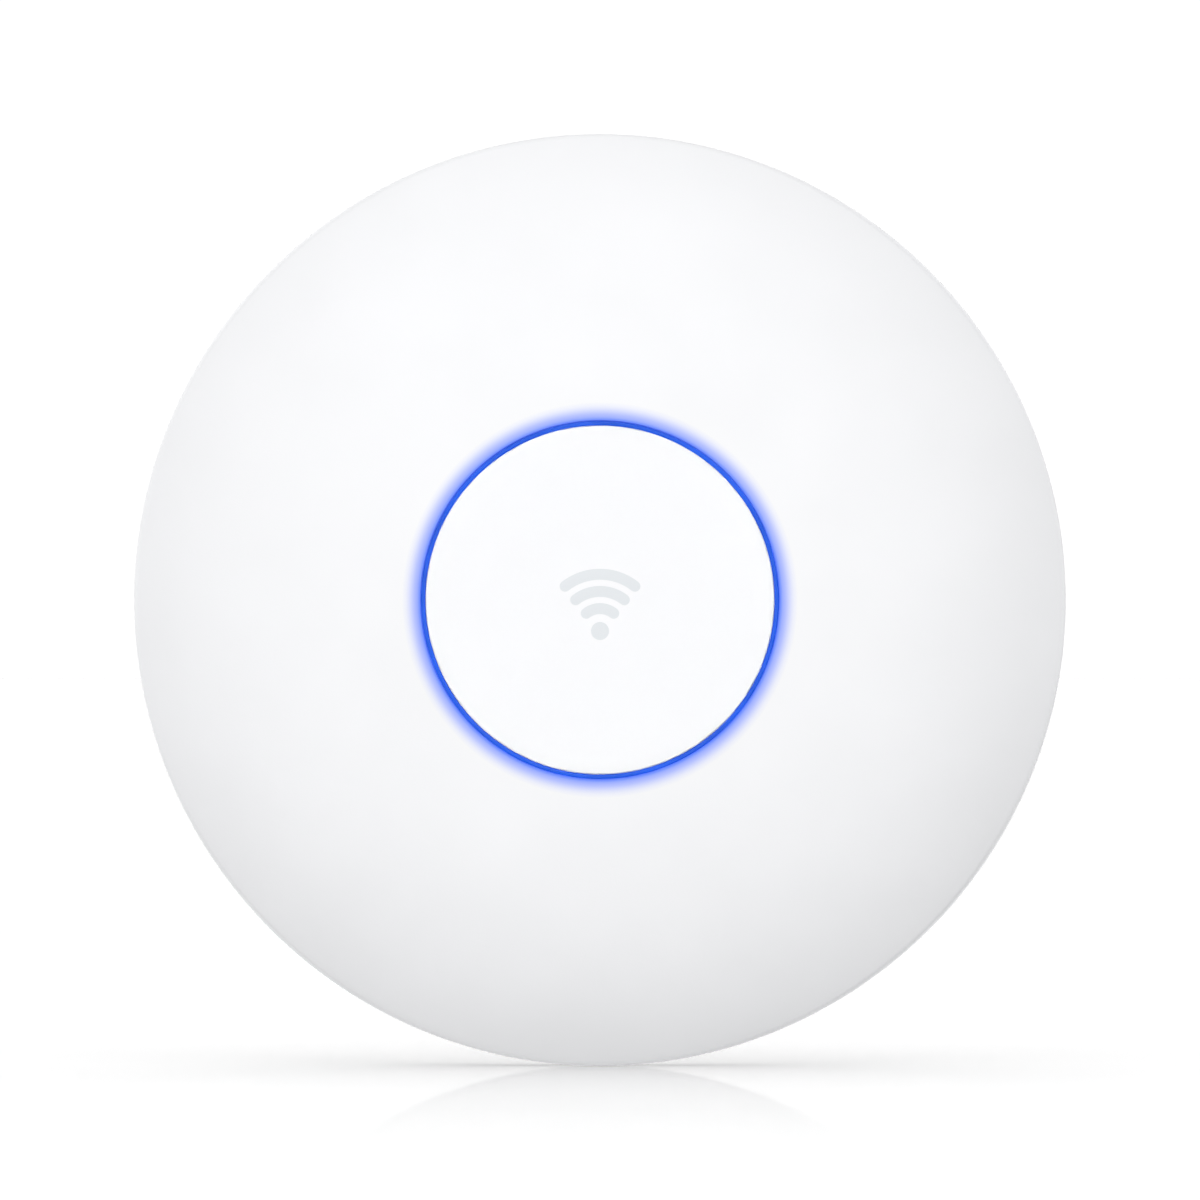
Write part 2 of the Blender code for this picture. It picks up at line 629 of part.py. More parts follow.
def make_lever():
    """The latch lever: an arm along the bracket's edge with a raised tooth at its free end."""
    first, last = LEVER_ANGLES[0] + 2.0, LEVER_ANGLES[1] + 1.7
    inner, outer = LEVER_R
    lever = plate("latch_lever", [arc(outer, last, first, 9) + arc(inner, first, last, 9)],
                  0.0, BRACKET_T, "steel")
    heel, face, ramp_end = outer - 1.5, first + 0.1, first + 6.0
    tooth = [polar(heel, face), polar(TOOTH_R, face), polar(TOOTH_R, first + 2.0),
             polar(outer - 0.1, ramp_end), polar(heel, ramp_end)]
    join(lever, plate("latch_tooth", [tooth], 0.2, LATCH_Z))


def make_label():
    """A film label on the floor of the recess."""
    block("rear_label", (-30.0, 22.0, RECESS_Z - 0.45), (30.0, 48.0, RECESS_Z - GAP), "label")


make_dome()
make_cap()
make_light_ring()
make_led_parts()
make_rear_shell()
make_gasket()
make_main_board()
make_shell_screws()
make_cans()
make_power_parts()
make_jack()
make_button()
make_antenna_plate()
make_antennas()
make_bracket()
make_lever()
make_label()
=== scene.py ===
import json
import math

import bmesh
import bpy
from mathutils import Matrix, Vector


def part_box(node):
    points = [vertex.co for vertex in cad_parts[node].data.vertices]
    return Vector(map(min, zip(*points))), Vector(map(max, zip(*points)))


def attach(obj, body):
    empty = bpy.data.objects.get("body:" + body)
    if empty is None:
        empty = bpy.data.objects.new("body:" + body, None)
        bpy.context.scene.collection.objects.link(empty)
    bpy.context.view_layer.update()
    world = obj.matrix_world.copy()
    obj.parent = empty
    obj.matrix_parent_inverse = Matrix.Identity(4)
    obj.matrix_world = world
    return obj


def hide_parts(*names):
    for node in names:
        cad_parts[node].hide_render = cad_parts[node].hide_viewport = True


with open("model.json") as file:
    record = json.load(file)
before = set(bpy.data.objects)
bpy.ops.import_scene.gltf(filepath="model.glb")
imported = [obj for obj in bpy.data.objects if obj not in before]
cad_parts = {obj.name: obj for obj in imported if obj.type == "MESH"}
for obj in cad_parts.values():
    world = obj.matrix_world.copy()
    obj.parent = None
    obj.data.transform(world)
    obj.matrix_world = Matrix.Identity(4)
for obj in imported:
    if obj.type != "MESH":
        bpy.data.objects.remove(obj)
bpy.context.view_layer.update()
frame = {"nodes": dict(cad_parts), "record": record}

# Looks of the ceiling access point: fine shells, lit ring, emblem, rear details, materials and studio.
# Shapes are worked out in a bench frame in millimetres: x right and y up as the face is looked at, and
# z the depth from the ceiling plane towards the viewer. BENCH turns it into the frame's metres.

MM = 0.001
BENCH = Matrix.Rotation(math.pi / 2, 4, "X") @ Matrix.Scale(MM, 4)
ROUND = 256              # steps round the large turned pieces
SHARP_ANGLE = 35.0       # edges sharper than this are not shaded smooth


def node_box(node):
    """Lowest and highest corners of a CAD node in the bench frame, in millimetres."""
    low, high = (Vector(corner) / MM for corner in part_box(node))
    return Vector((low.x, low.z, -high.y)), Vector((high.x, high.z, -low.y))


DOME_LOW, DOME_HIGH = node_box("dome_cover")
CAP_LOW, CAP_HIGH = node_box("centre_disc")
SHELL_LOW, SHELL_HIGH = node_box("back_housing")
JACK_LOW, JACK_HIGH = node_box("jack_shell")

BODY_R = DOME_HIGH.x
CAP_R = CAP_HIGH.x
FACE_Z = CAP_HIGH.z
SEAM_Z = DOME_LOW.z + 1.3      # the bosses reach below the skirt by this much

# ---------------------------------------------------------------------------------------- materials


class Look:
    """A procedural material under construction: a Principled shader and the nodes that feed it."""

    def __init__(self, name, colour, roughness, metallic=0.0):
        self.material = bpy.data.materials.new(name)
        self.material.use_nodes = True
        self.tree = self.material.node_tree
        self.shader = self.tree.nodes["Principled BSDF"]
        self.colour = colour
        self.put(self.shader, "Base Color", (*colour, 1.0))
        self.put(self.shader, "Roughness", roughness)
        self.put(self.shader, "Metallic", metallic)

    def put(self, node, name, value):
        node.inputs[name].default_value = value

    def add(self, kind, **settings):
        node = self.tree.nodes.new("ShaderNode" + kind)
        for key, value in settings.items():
            setattr(node, key, value)
        return node

    def link(self, source, target):
        self.tree.links.new(source, target)

    def place(self, scale=(1.0, 1.0, 1.0)):
        """The piece's own coordinates, in millimetres, stretched by scale."""
        coordinate = self.add("TexCoord")
        mapping = self.add("Mapping")
        self.put(mapping, "Scale", tuple(s / MM for s in scale))
        self.link(coordinate.outputs["Object"], mapping.inputs["Vector"])
        return mapping.outputs["Vector"]

    def noise(self, size, detail=3.0, scale=(1.0, 1.0, 1.0)):
        """Noise whose blotches are about size millimetres across."""
        node = self.add("TexNoise")
        self.put(node, "Scale", 1.0 / size)
        self.put(node, "Detail", detail)
        self.link(self.place(scale), node.inputs["Vector"])
        return node.outputs["Fac"]

    def span(self, value, low, high):
        """value, from 0 to 1, carried over to the range low to high."""
        node = self.add("MapRange")
        self.put(node, "From Min", 0.3)
        self.put(node, "From Max", 0.7)
        self.put(node, "To Min", low)
        self.put(node, "To Max", high)
        self.link(value, node.inputs["Value"])
        return node.outputs["Result"]

    def mix(self, factor, first, second):
        """A colour between first and second, each a colour or a socket."""
        node = self.add("Mix", data_type="RGBA")
        self.link(factor, node.inputs["Factor"])
        for name, colour in (("A", first), ("B", second)):
            socket = next(s for s in node.inputs if s.name == name and s.type == "RGBA")
            if isinstance(colour, bpy.types.NodeSocket):
                self.link(colour, socket)
            else:
                socket.default_value = (*colour, 1.0)
        return next(s for s in node.outputs if s.type == "RGBA")

    def vary(self, factor, amount):
        """Base colour that drifts a little either side of the plain one."""
        dark = tuple(c * (1.0 - amount) for c in self.colour)
        light = tuple(min(1.0, c * (1.0 + amount)) for c in self.colour)
        self.link(self.mix(self.span(factor, 0.0, 1.0), dark, light), self.shader.inputs["Base Color"])

    def polish(self, factor, low, high):
        self.link(self.span(factor, low, high), self.shader.inputs["Roughness"])

    def bump(self, height, depth):
        """Relief of depth millimetres from a height between 0 and 1."""
        node = self.add("Bump")
        self.put(node, "Strength", 1.0)
        self.put(node, "Distance", depth * MM)
        self.link(height, node.inputs["Height"])
        self.link(node.outputs["Normal"], self.shader.inputs["Normal"])


def moulded(name, colour, roughness, grain=0.35, relief=0.012, drift=0.012):
    """Moulded plastic with a fine spark-eroded grain and a slow drift of colour and gloss."""
    look = Look(name, colour, roughness)
    look.vary(look.noise(24.0, 2.0), drift)
    look.polish(look.noise(5.0, 4.0), roughness - 0.05, roughness + 0.05)
    look.bump(look.noise(grain, 2.0), relief)
    return look


def sheet_metal(name, colour, roughness, scale=(0.25, 9.0, 9.0), relief=0.003):
    """Rolled or plated sheet: fine lines along x, with a blotchy plating gloss."""
    look = Look(name, colour, roughness, 1.0)
    look.vary(look.noise(1.0, 3.0, scale), 0.10)
    look.polish(look.noise(7.0, 4.0), roughness - 0.08, roughness + 0.10)
    look.bump(look.noise(1.0, 2.0, scale), relief)
    return look


def radius_from_axis(look, across=(1.0, 0.0, 1.0)):
    """Distance from the object's axis in millimetres, or on the floor from the point below it."""
    flat = look.place(across)
    length = look.add("VectorMath", operation="LENGTH")
    look.link(flat, length.inputs[0])
    return length.outputs["Value"]


def ramp(look, value, stops):
    """A colour ramp over radii in millimetres; stops are (radius, colour)."""
    low, high = stops[0][0], stops[-1][0]
    scaled = look.add("MapRange")
    look.put(scaled, "From Min", low)
    look.put(scaled, "From Max", high)
    look.link(value, scaled.inputs["Value"])
    node = look.add("ValToRGB")
    elements = node.color_ramp.elements
    while len(elements) < len(stops):
        elements.new(0.5)
    for element, (radius, colour) in zip(elements, stops):
        element.position = (radius - low) / (high - low)
        element.color = (*colour, 1.0)
    look.link(scaled.outputs["Result"], node.inputs["Fac"])
    return node.outputs["Color"]


WHITE = (0.862, 0.866, 0.880)


def dome_look():
    """White dome with a painted blue glow next to the cap: a blue base colour and emission stand in for the
    light ring's light on it.
    """
    look = moulded("dome_polycarbonate", WHITE, 0.46)
    radius = radius_from_axis(look)
    drift = look.shader.inputs["Base Color"].links[0].from_socket
    hole = CAP_R + 0.9
    # Painted glow: this ramp fades a blue base colour and a blue emission outwards from the hole, standing
    # in for the ring's light on the dome.
    painted_glow = ramp(look, radius, [
        (hole - 0.2, (1.0, 1.0, 1.0)), (hole + 0.3, (0.94, 0.94, 0.94)), (hole + 0.7, (0.76, 0.76, 0.76)),
        (hole + 1.4, (0.59, 0.59, 0.59)), (hole + 2.0, (0.40, 0.40, 0.40)), (hole + 2.6, (0.22, 0.22, 0.22)),
        (hole + 3.1, (0.10, 0.10, 0.10)), (hole + 3.9, (0.0, 0.0, 0.0))])
    look.link(look.mix(painted_glow, drift, (0.11, 0.21, 0.82)), look.shader.inputs["Base Color"])
    look.link(look.mix(painted_glow, (0.0, 0.0, 0.0), (0.004, 0.012, 0.12)), look.shader.inputs["Emission Color"])
    look.put(look.shader, "Emission Strength", 1.0)
    return look


def light_look():
    """The lit light guide: saturated blue with a slight ripple from the lamps behind it."""
    look = Look("light_guide_blue", (0.002, 0.03, 0.30), 0.35)
    ripple = look.noise(9.0, 1.0)
    look.link(look.mix(look.span(ripple, 0.0, 1.0), (0.002, 0.065, 0.46), (0.003, 0.085, 0.58)),
              look.shader.inputs["Emission Color"])
    look.vary(ripple, 0.08)
    look.put(look.shader, "Emission Strength", 0.9)
    look.put(look.shader, "Specular IOR Level", 0.15)
    look.bump(look.noise(0.8, 1.0), 0.004)
    return look


def circuit_board_look():
    """Green solder mask with copper tracks that show faintly, and bare pads here and there."""
    look = Look("solder_mask", (0.012, 0.10, 0.05), 0.32)
    tracks = look.add("TexBrick", offset=0.37, squash=0.6)
    look.link(look.place((0.22, 0.22, 0.22)), tracks.inputs["Vector"])
    look.put(tracks, "Scale", 1.0)
    look.put(tracks, "Mortar Size", 0.06)
    look.put(tracks, "Color1", (0.012, 0.10, 0.05, 1.0))
    look.put(tracks, "Color2", (0.010, 0.085, 0.045, 1.0))
    look.put(tracks, "Mortar", (0.03, 0.20, 0.09, 1.0))
    pads = look.add("TexVoronoi", feature="F1")
    look.link(look.place((0.45, 0.45, 0.45)), pads.inputs["Vector"])
    look.put(pads, "Scale", 1.0)
    spot = look.add("Math", operation="LESS_THAN")
    look.link(pads.outputs["Distance"], spot.inputs[0])
    look.put(spot, 1, 0.22)
    look.link(look.mix(spot.outputs["Value"], tracks.outputs["Color"], (0.62, 0.60, 0.54)),
              look.shader.inputs["Base Color"])
    look.bump(tracks.outputs["Fac"], 0.03)
    return look


def powder_coat_look():
    """White powder coat on the casting, with a faint orange peel."""
    look = Look("white_powder_coat", (0.80, 0.81, 0.815), 0.5)
    look.vary(look.noise(18.0, 2.0), 0.02)
    look.polish(look.noise(3.0, 4.0), 0.42, 0.56)
    look.bump(look.noise(0.9, 3.0), 0.03)
    return look


LOOKS = {
    "dome": dome_look(),
    "cap": moulded("cap_polycarbonate", (0.880, 0.886, 0.902), 0.40, grain=0.25, relief=0.006, drift=0.004),
    "light_guide": light_look(),
    "casting": powder_coat_look(),
    "gasket": moulded("foam_rubber", (0.03, 0.03, 0.032), 0.85, grain=0.5, relief=0.05),
    "bracket_steel": sheet_metal("zinc_plated_sheet", (0.60, 0.61, 0.62), 0.36),
    "spring_steel": sheet_metal("spring_sheet", (0.48, 0.49, 0.51), 0.30),
    "screw_steel": sheet_metal("plated_screw", (0.58, 0.58, 0.60), 0.30, scale=(3.0, 3.0, 3.0)),
    "tinplate": sheet_metal("tin_plated_sheet", (0.72, 0.73, 0.74), 0.22),
    "aluminium_sheet": sheet_metal("rolled_aluminium", (0.74, 0.75, 0.76), 0.38),
    "brass_sheet": sheet_metal("stamped_brass", (0.70, 0.52, 0.24), 0.32),
    "circuit_board": circuit_board_look(),
    "polyimide": moulded("polyimide_film", (0.40, 0.16, 0.03), 0.30, grain=1.2, relief=0.004),
    "black_plastic": moulded("black_moulding", (0.018, 0.018, 0.02), 0.42,
                             grain=0.3, relief=0.02, drift=0.15),
    "button_plastic": moulded("button_moulding", (0.03, 0.03, 0.03), 0.35,
                              grain=0.4, relief=0.01, drift=0.15),
    "lead_jacket": moulded("lead_jacket", (0.02, 0.02, 0.022), 0.38, grain=0.6, relief=0.006, drift=0.15),
    "lamp": moulded("lamp_package", (0.82, 0.78, 0.55), 0.25, grain=0.4, relief=0.004, drift=0.05),
    "capacitor_can": sheet_metal("capacitor_can", (0.66, 0.67, 0.68), 0.28),
    "thermal_pad": moulded("gap_filler", (0.30, 0.38, 0.52), 0.75, grain=0.7, relief=0.03, drift=0.06),
    "label": moulded("blank_label", (0.78, 0.78, 0.77), 0.42, grain=0.8, relief=0.004),
    "print": moulded("pale_grey_print", (0.72, 0.75, 0.77), 0.40, grain=0.3, relief=0.004),
    "gold": sheet_metal("gold_contact", (0.86, 0.62, 0.22), 0.20, scale=(4.0, 4.0, 4.0)),
}


def paint(item, slot):
    item.data.materials.clear()
    item.data.materials.append(LOOKS[slot].material)


# ---------------------------------------------------------------------------------------- shapes


def finish_piece(item, slot, nodes=(), body="access_point"):
    """Gives a piece its material and body, and hides the CAD nodes that it stands for."""
    paint(item, slot)
    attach(item, body)
    if nodes:
        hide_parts(*nodes)
    return item


def keep_mesh(name, work):
    """A scene object from a bmesh in bench millimetres."""
    work.transform(BENCH)
    mesh = bpy.data.meshes.new(name)
    work.to_mesh(mesh)
    work.free()
    item = bpy.data.objects.new(name, mesh)
    bpy.context.scene.collection.objects.link(item)
    return item


def shade(item, flatten=False):
    """Smooth shading that breaks at sharp edges; flatten keeps large flat faces evenly shaded."""
    item.data.shade_smooth()
    item.data.set_sharp_from_angle(angle=math.radians(SHARP_ANGLE))
    if flatten:
        modifier = item.modifiers.new("flatten", "WEIGHTED_NORMAL")
        modifier.mode = "FACE_AREA"
        modifier.keep_sharp = True
        apply_modifiers(item)


def polar(radius, degrees):
    return (radius * math.cos(math.radians(degrees)), radius * math.sin(math.radians(degrees)))


def arc(radius, first, last, steps):
    return [polar(radius, first + (last - first) * i / steps) for i in range(steps + 1)]


def fillet(points, radii, steps=4, closed=False):
    """The outline with its corners rounded; radii maps a point's index to its radius."""
    rounded = []
    count = len(points)
    for i, corner in enumerate(points):
        if i not in radii or (not closed and i in (0, count - 1)):
            rounded.append(corner)
            continue
        here = Vector(corner)
        before = Vector(points[i - 1]) - here
        after = Vector(points[(i + 1) % count]) - here
        half = before.angle(after) / 2
        reach = min(radii[i] / math.tan(half), before.length * 0.49, after.length * 0.49)
        start, end = here + before.normalized() * reach, here + after.normalized() * reach
        for step in range(steps + 1):
            t = step / steps
            rounded.append(tuple(start * (1 - t) ** 2 + here * 2 * t * (1 - t) + end * t**2))
    return rounded


def turned(profile, closed=False, segments=ROUND, at=(0.0, 0.0)):
    """A bmesh of the profile's (radius, depth) points turned about the z axis."""
    work = bmesh.new()
    rings = []
    for radius, depth in profile:
        if radius < 1e-6:
            rings.append([work.verts.new((at[0], at[1], depth))])
            continue
        turn = [polar(radius, 360.0 * i / segments) for i in range(segments)]
        rings.append([work.verts.new((at[0] + x, at[1] + y, depth)) for x, y in turn])
    pairs = list(zip(rings, rings[1:])) + ([(rings[-1], rings[0])] if closed else [])
    for upper, lower in pairs:
        for i in range(segments):
            j = (i + 1) % segments
            if len(upper) == 1:
                corners = (upper[0], lower[i], lower[j])
            elif len(lower) == 1:
                corners = (upper[i], lower[0], upper[j])
            else:
                corners = (upper[i], lower[i], lower[j], upper[j])
            work.faces.new(corners)
    bmesh.ops.recalc_face_normals(work, faces=work.faces)
    return work


def box(low, high):
    work = bmesh.new()
    size = Vector(high) - Vector(low)
    middle = (Vector(low) + Vector(high)) / 2
    bmesh.ops.create_cube(work, size=1.0, matrix=Matrix.Translation(middle) @ Matrix.Diagonal((*size, 1.0)))
    return work


def prism(outline, z0, z1):
    """A bmesh of a flat outline pushed from one depth to another."""
    work = bmesh.new()
    low = [work.verts.new((x, y, z0)) for x, y in outline]
    high = [work.verts.new((x, y, z1)) for x, y in outline]
    work.faces.new(low)
    work.faces.new(list(reversed(high)))
    for i in range(len(outline)):
        j = (i + 1) % len(outline)
        work.faces.new((low[i], high[i], high[j], low[j]))
    bmesh.ops.recalc_face_normals(work, faces=work.faces)
    return work


def combined(base, added=(), removed=(), name="piece"):
    """Boolean union of base and the added meshes, less the removed ones, as one scene object."""
    item = keep_mesh(name, base)
    for operation, operands in (("UNION", added), ("DIFFERENCE", removed)):
        if not operands:
            continue
        group = bpy.data.collections.new(f"{name}_{operation.lower()}")
        helpers = [keep_mesh(f"{name}_{operation.lower()}_{i}", work) for i, work in enumerate(operands)]
        for helper in helpers:
            bpy.context.scene.collection.objects.unlink(helper)
            group.objects.link(helper)
        modifier = item.modifiers.new(operation, "BOOLEAN")
        modifier.operation = operation
        modifier.operand_type = "COLLECTION"
        modifier.collection = group
        modifier.solver = "EXACT"
        apply_modifiers(item)
        for helper in helpers:
            bpy.data.objects.remove(helper)
        bpy.data.collections.remove(group)
    return item


def gathered(parts):
    """One bmesh that holds all the given ones, unjoined."""
    work = bmesh.new()
    for part in parts:
        mesh = bpy.data.meshes.new("part")
        part.to_mesh(mesh)
        part.free()
        work.from_mesh(mesh)
        bpy.data.meshes.remove(mesh)
    return work


def apply_modifiers(item):
    bpy.context.view_layer.update()
    graph = bpy.context.evaluated_depsgraph_get()
    mesh = bpy.data.meshes.new_from_object(item.evaluated_get(graph))
    item.modifiers.clear()
    item.data = mesh


def soften(item, width, segments=2, angle=40.0):
    """Rounds the sharp edges of a scene object, in millimetres."""
    modifier = item.modifiers.new("edges", "BEVEL")
    modifier.width = width * MM
    modifier.segments = segments
    modifier.limit_method = "ANGLE"
    modifier.angle_limit = math.radians(angle)
    modifier.use_clamp_overlap = True
    apply_modifiers(item)


# ---------------------------------------------------------------------------------------- front

CROWN_H = 19.5           # height of the dome's crown curve
CROWN_POWER = 3.5
CROWN_BASE = 15.74
EDGE_R = 2.5             # arc at the dome's edge
WALL = 2.4
HOLE_R = CAP_R + 0.85    # the dome's central hole
GUIDE_R = (33.0, 43.0)   # inner and outer edge of the light guide's flange
GUIDE_REAR_Z = 30.2      # the flange's rear face
GUIDE_FRONT_Z = (31.2, 31.6)    # its front face, at the outer and the inner edge


def crown_z(radius):
    return CROWN_BASE + CROWN_H * (1.0 - (radius / BODY_R) ** CROWN_POWER)


def crown_slope(radius):
    return math.atan(CROWN_H * CROWN_POWER / BODY_R * (radius / BODY_R) ** (CROWN_POWER - 1.0))


def dome_outer():
    """The dome's outer side, from its hole to the end of its skirt."""
    slope = crown_slope(BODY_R)
    edge_start = BODY_R - EDGE_R * (1.0 - math.sin(slope))
    rows = 44
    radii = [HOLE_R + (edge_start - HOLE_R) * i / rows for i in range(rows + 1)]
    outline = [(r, crown_z(r)) for r in radii]
    centre = outline[-1][1] - EDGE_R * math.cos(slope)
    steps = 12
    for i in range(1, steps + 1):
        angle = slope + (math.pi / 2 - slope) * i / steps
        outline.append((BODY_R - EDGE_R + EDGE_R * math.sin(angle), centre + EDGE_R * math.cos(angle)))
    return outline


def make_dome():
    outer = dome_outer()
    inner = [(r, crown_z(r) - WALL / math.cos(crown_slope(r))) for r, _ in outer[:-12:4]]
    skirt = [(BODY_R, SEAM_Z + 0.35), (BODY_R - 0.12, SEAM_Z + 0.12), (BODY_R - 0.35, SEAM_Z),
             (BODY_R - WALL, SEAM_Z), (BODY_R - WALL, outer[-1][1] - 0.5)]
    lip = [(HOLE_R, crown_z(HOLE_R) - WALL + 0.3), (HOLE_R, crown_z(HOLE_R) - 0.25)]
    profile = [(HOLE_R + 0.2, crown_z(HOLE_R + 0.2))] + outer[1:] + skirt + list(reversed(inner))[:-1] + lip
    centres = [polar(BOSS_R, angle) for angle in BOSS_ANGLES]
    top = crown_z(BOSS_R) - 1.6
    bosses = [turned([(0.0, top), (3.6, top), (3.6, BOSS_SEAT_Z), (0.0, BOSS_SEAT_Z)], segments=32, at=c)
              for c in centres]
    bores = [turned([(0.0, top - 3.0), (1.6, top - 3.0), (1.6, 10.0), (0.0, 10.0)], segments=24, at=c)
             for c in centres]
    dome = combined(turned(profile, closed=True), bosses, bores, "dome_shell")
    shade(dome)
    finish_piece(dome, "dome", ["dome_cover"])


def make_cap():
    """The flat cap with a small rounded edge and a snap rim behind."""
    back = CAP_LOW.z
    front, edge = FACE_Z - 0.03, CAP_R - 0.12
    profile = [(0.0, front), (CAP_R - 1.5, front), (edge, front - 0.02), (edge, back), (CAP_R - 2.0, back),
               (CAP_R - 2.0, back + 0.9), (0.0, back + 0.9)]
    cap = keep_mesh("centre_cap", turned(fillet(profile, {2: 0.45, 3: 0.2, 4: 0.2}, steps=6)))
    shade(cap)
    finish_piece(cap, "cap", ["centre_disc"])


def make_light_guide():
    """The light guide's flange and the lip that fills the gap round the cap."""
    lip_top = crown_z(HOLE_R) - 0.05
    inner, outer = CAP_R - 0.06, HOLE_R - 0.06
    flange_in, flange_out = GUIDE_R
    low_front, high_front = GUIDE_FRONT_Z
    profile = [(outer, lip_top), (outer, high_front), (flange_out, low_front), (flange_out, GUIDE_REAR_Z),
               (flange_in, GUIDE_REAR_Z), (flange_in, high_front), (inner, high_front + 0.3),
               (inner, lip_top)]
    section = fillet(profile, {0: 0.12, 7: 0.12, 2: 0.3, 3: 0.3}, closed=True)
    ring = keep_mesh("light_guide", turned(section, closed=True))
    shade(ring)
    finish_piece(ring, "light_guide", ["light_ring"])


def capsule_arc(radius, half_angle, width, steps=20):
    """The outline of a stretch of a circle about the origin, with round ends, opening upwards."""
    low, high = 90.0 - half_angle, 90.0 + half_angle
    outline = arc(radius + width / 2, low, high, steps)
    end = Vector(polar(radius, high))
    outline += [tuple(end + Vector(polar(width / 2, high + 180.0 * i / 8))) for i in range(1, 8)]
    outline += arc(radius - width / 2, high, low, steps)
    end = Vector(polar(radius, low))
    outline += [tuple(end + Vector(polar(width / 2, low + 180.0 + 180.0 * i / 8))) for i in range(1, 8)]
    return outline


def make_emblem():
    """A generic wireless mark, a dot under three arcs, printed on the cap."""
    base_y, dot, width = -6.5, 1.9, 2.3
    low, high = FACE_Z - 0.06, FACE_Z
    shapes = [arc(dot, 0.0, 360.0 - 360.0 / 24, 23)]
    shapes += [capsule_arc(radius, 38.0, width) for radius in (4.7, 8.3, 11.9)]
    parts = [prism([(x, y + base_y) for x, y in shape], low, high) for shape in shapes]
    mark = keep_mesh("cap_emblem", gathered(parts))
    finish_piece(mark, "print")


# ---------------------------------------------------------------------------------------- rear shell

BOSS_R = 78.5            # circle of the four shell screws
BOSS_ANGLES = (20.0, 160.0, 200.0, 340.0)
BOSS_SEAT_Z = 11.0       # where the dome's bosses meet the rear shell's
REAR_Z = SHELL_LOW.z
SHELL_TOP_Z = SEAM_Z - 0.3
SHELL_R = SHELL_HIGH.x
REAR_FLAT_R = 86.0
RECESS_R = 66.0          # round recess that takes the bracket
RECESS_Z = 6.5
LUG_ROOT_R = RECESS_R + 0.8    # just inside the recess's wall, which the lugs and the catch grow from
CAST = 2.2               # wall thickness
WELL_R = 3.2             # wells of the shell screws
WELL_Z = 5.0
BOARD_POST_R = 3.2
POCKET_HALF = 13.0       # cable pocket
POCKET_END = 16.0
POCKET_Z = 13.2
POCKET_WALL = 1.8
BOARD_POSTS = [(x, y) for x in (-55.0, 55.0) for y in (-30.0, 30.0)]
BOARD_REAR_Z = node_box("main_board")[0].z
TAB_ANGLES = (45.0, 135.0, 225.0, 315.0)
TAB_HALF = 8.0
TWIST_STOP = 2.0
TAB_FOOT_Z = (3.6, 5.0)
LUG_R = 58.4             # inner side of the shell's lugs
LUG_Z = (2.0, 3.3)
LEVER_ANGLES = (78.0, 112.0)
CATCH_R = 64.5           # inner side of the catch, just clear of the latch's tooth
LATCH_Z = 4.5            # height of the tooth
RELEASE_ANGLE = 81.0
BUTTON_LOW, BUTTON_HIGH = node_box("reset_button")


def sector(inner, outer, first, last, steps=12):
    return arc(outer, first, last, steps) + arc(inner, last, first, steps)


def pin(centre, radius, z0, z1, segments=32):
    return turned([(0.0, z1), (radius, z1), (radius, z0), (0.0, z0)], segments=segments, at=centre)


def rounded_box(low, high, radius, steps=5):
    """A box whose four edges along z are rounded."""
    corners = [(low[0], low[1]), (high[0], low[1]), (high[0], high[1]), (low[0], high[1])]
    return prism(fillet(corners, dict.fromkeys(range(4), radius), steps, closed=True), low[2], high[2])


def shell_profile():
    """Section of the rear shell: along its inside, down the outside, and across the recess floor."""
    inside = [(0.0, RECESS_Z + CAST), (RECESS_R + CAST, RECESS_Z + CAST), (RECESS_R + CAST, REAR_Z + CAST),
              (86.4, REAR_Z + CAST), (90.8, 5.8), (93.8, 8.6), (SHELL_R - CAST - 0.2, SHELL_TOP_Z)]
    outside = [(SHELL_R, SHELL_TOP_Z), (SHELL_R - 0.4, 10.0), (95.4, 6.8), (92.4, 4.0), (89.2, 2.0),
               (REAR_FLAT_R, REAR_Z)]
    recess = [(RECESS_R, REAR_Z), (RECESS_R, RECESS_Z), (0.0, RECESS_Z)]
    radii = {1: 1.0, 3: 2.0, 4: 6.0, 5: 6.0, 7: 0.25, 8: 12.0, 9: 12.0, 10: 12.0, 11: 12.0, 12: 8.0, 13: 0.6}
    return fillet(inside + outside + recess, radii, steps=5)


def turn_about_axis(work, degrees):
    work.transform(Matrix.Rotation(math.radians(degrees), 4, "Z"))
    return work


def shell_additions():
    """Walls round the pocket and groove, bayonet lugs, latch catch, and the screw and board posts."""
    added = [rounded_box((-POCKET_HALF - POCKET_WALL, JACK_LOW.y - 2.4, RECESS_Z + 0.6),
                         (POCKET_HALF + POCKET_WALL, POCKET_END + POCKET_WALL, POCKET_Z + POCKET_WALL), 2.5),
             turn_about_axis(box((66.5, -4.5, REAR_Z + 1.0), (88.0, 4.5, 6.2)), RELEASE_ANGLE),
             prism(sector(CATCH_R, LUG_ROOT_R, LEVER_ANGLES[0] - 1.7, LEVER_ANGLES[0] + 1.3),
                   REAR_Z + 0.4, LATCH_Z + 0.4)]
    for angle in TAB_ANGLES:
        lug = sector(LUG_R, LUG_ROOT_R, angle - TAB_HALF + 0.5, angle + TAB_HALF - 1.5)
        lug = fillet(lug, {13: 0.8, 25: 0.8}, closed=True)
        added.append(prism(lug, *LUG_Z))
    added += [pin(polar(BOSS_R, angle), WELL_R + 1.4, REAR_Z + 1.0, BOSS_SEAT_Z - 0.3)
              for angle in BOSS_ANGLES]
    added += [pin(post, BOARD_POST_R, RECESS_Z + 1.0, BOARD_REAR_Z - 0.3) for post in BOARD_POSTS]
    return added


